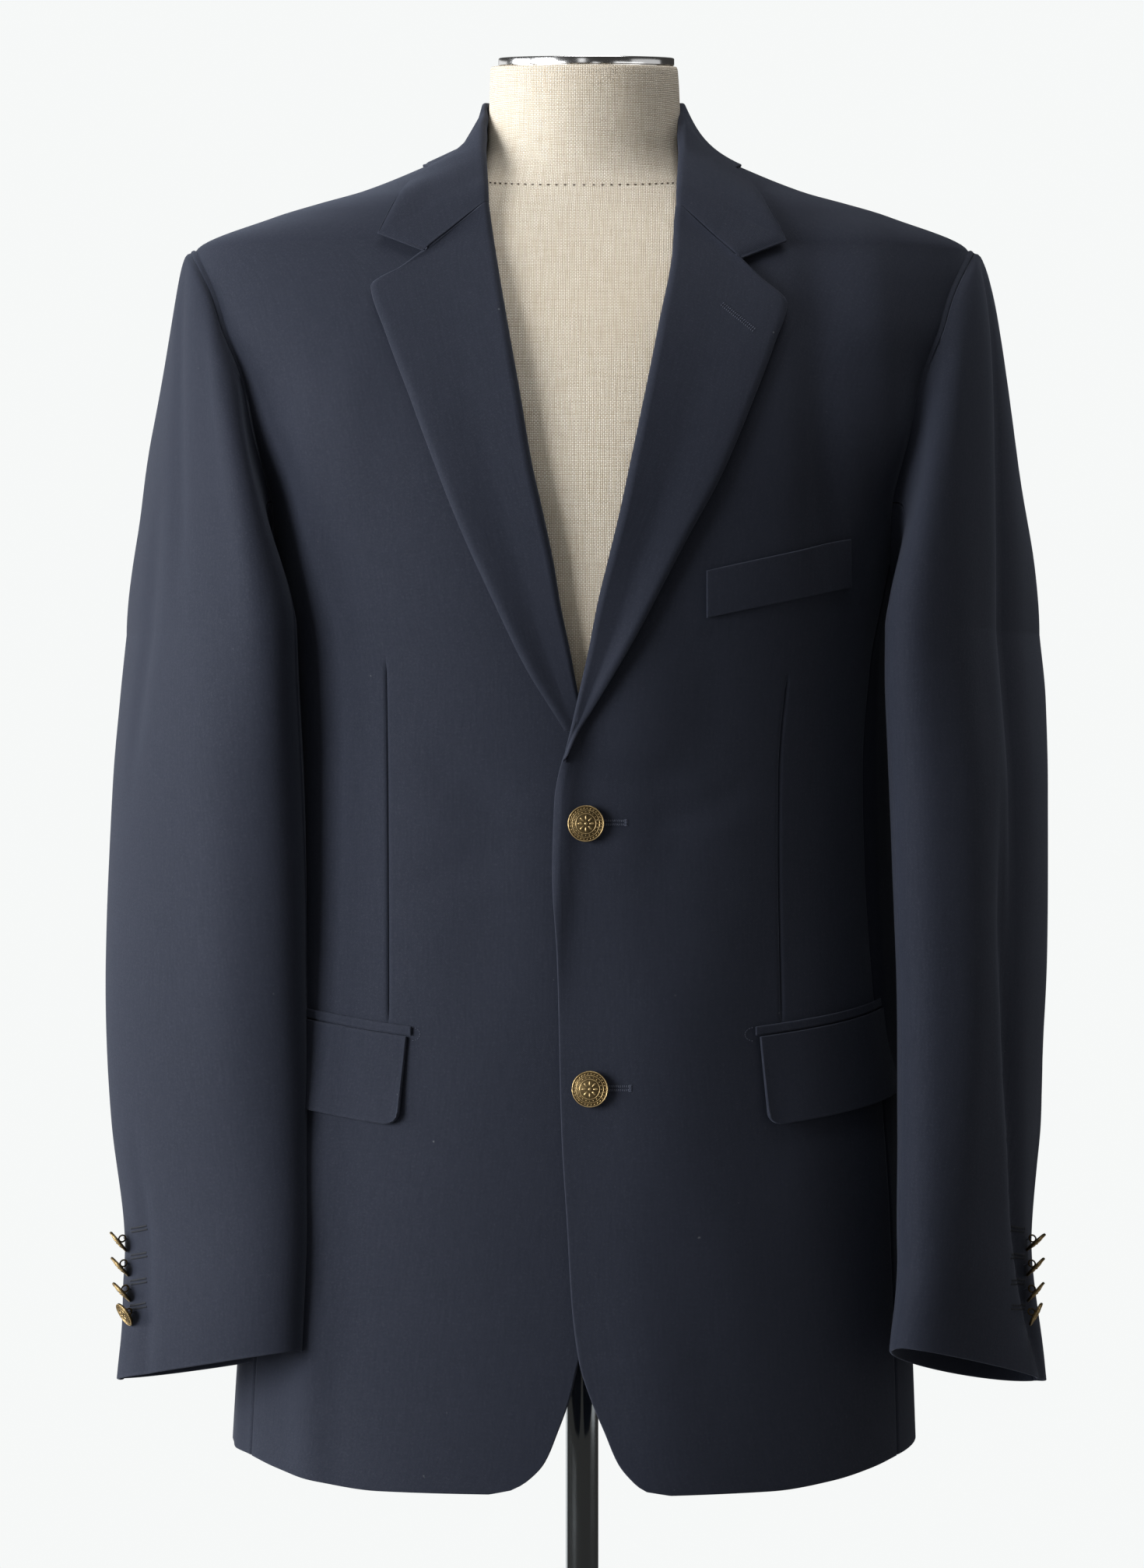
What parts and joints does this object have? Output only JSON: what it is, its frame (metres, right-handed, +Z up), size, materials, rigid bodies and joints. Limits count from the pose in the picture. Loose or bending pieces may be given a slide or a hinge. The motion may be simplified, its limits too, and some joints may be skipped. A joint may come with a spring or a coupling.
{
  "type": "blazer on a dress form",
  "caption": "Single-breasted navy blazer with notched lapels, flap pockets and domed metal buttons, worn by a limbless linen dress form on a round-based metal stand.",
  "frame": {"origin": "on the floor, centred under the pole and the whole part", "axes": "+Z up along the pole; the garment's front faces -Y; +X is the wearer's left"},
  "size_m": [0.5644, 0.35, 1.5389],
  "materials": {
    "navy_wool": "fine plain-woven navy wool with a soft, matt nap",
    "antique_brass": "antiqued brass with dark recesses and polished high spots",
    "linen": "coarse natural linen, plain weave, matt",
    "chrome": "polished chrome",
    "dark_steel": "dark, smooth, slightly glossy steel"
  },
  "bodies": {
    "root": {"front_left": "navy_wool", "front_right": "navy_wool", "side_left": "navy_wool", "side_right": "navy_wool", "back_left": "navy_wool", "back_right": "navy_wool", "lapel_left": "navy_wool", "lapel_right": "navy_wool", "collar": "navy_wool", "sleeve_top_left": "navy_wool", "sleeve_top_right": "navy_wool", "sleeve_under_left": "navy_wool", "sleeve_under_right": "navy_wool", "breast_welt": "navy_wool", "flap_left": "navy_wool", "flap_right": "navy_wool", "jet_left": "navy_wool", "jet_right": "navy_wool", "button_front_top": "antique_brass", "button_front_bottom": "antique_brass", "button_cuff_left_1": "antique_brass", "button_cuff_left_2": "antique_brass", "button_cuff_left_3": "antique_brass", "button_cuff_left_4": "antique_brass", "button_cuff_right_1": "antique_brass", "button_cuff_right_2": "antique_brass", "button_cuff_right_3": "antique_brass", "button_cuff_right_4": "antique_brass", "form_torso": "linen", "form_neck_cap": "chrome", "form_pole": "dark_steel", "form_base": "dark_steel"}
  },
  "joints": []
}
